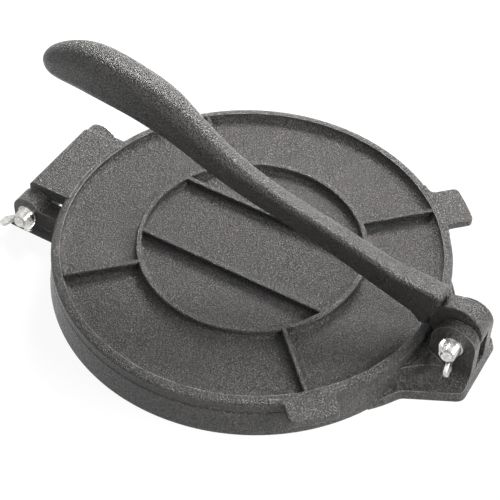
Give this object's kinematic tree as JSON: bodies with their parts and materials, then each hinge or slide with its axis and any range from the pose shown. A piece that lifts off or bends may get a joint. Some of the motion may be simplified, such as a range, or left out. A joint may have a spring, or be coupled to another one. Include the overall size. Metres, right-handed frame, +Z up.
{
  "type": "tortilla press",
  "caption": "Cast-iron press: a ribbed round plate hinged over a round base, pressed down by a long lever held in a yoke, with wing nuts on both pivots.",
  "frame": {"origin": "on the axis of the round plates, in the flat underside of the base where it stands on the table", "axes": "+Z up, +Y from the plates towards the hinge at the back, +X so that the wing nuts are on the -X side"},
  "size_m": [0.2068, 0.2555, 0.1076],
  "materials": {
    "cast_iron_base": "seasoned, rough as cast",
    "cast_iron_plate": "seasoned, rough as cast",
    "cast_iron_lever": "seasoned, rough as cast",
    "zinc_steel": "zinc plated"
  },
  "bodies": {
    "base": {"base_plate": "cast_iron_base", "hinge_bolt": "zinc_steel", "hinge_washer": "zinc_steel", "lever_bolt": "zinc_steel", "lever_washer": "zinc_steel"},
    "plate": {"top_plate": "cast_iron_plate"},
    "lever": {"lever": "cast_iron_lever"},
    "hinge_nut": {"hinge_wing_nut": "zinc_steel"},
    "lever_nut": {"lever_wing_nut": "zinc_steel"}
  },
  "joints": [
    {"name": "lever_swing", "type": "hinge", "parent": "base", "child": "lever", "pos_m": [0, -0.1155, 0.0254], "axis": [1, 0, 0], "range_deg": [0, 160]},
    {"name": "plate_hinge", "type": "hinge", "parent": "base", "child": "plate", "pos_m": [0, 0.1163, 0.0094], "axis": [-1, 0, 0], "range_deg": [0, 110]},
    {"name": "hinge_nut_turn", "type": "hinge", "parent": "base", "child": "hinge_nut", "pos_m": [-0.0356, 0.1163, 0.0094], "axis": [-1, 0, 0], "continuous": true},
    {"name": "lever_nut_turn", "type": "hinge", "parent": "base", "child": "lever_nut", "pos_m": [-0.0122, -0.1155, 0.0254], "axis": [-1, 0, 0], "continuous": true}
  ],
  "couplings": [
    {"joint": "plate_hinge", "follows": "lever_swing", "ratio": 0.074}
  ]
}
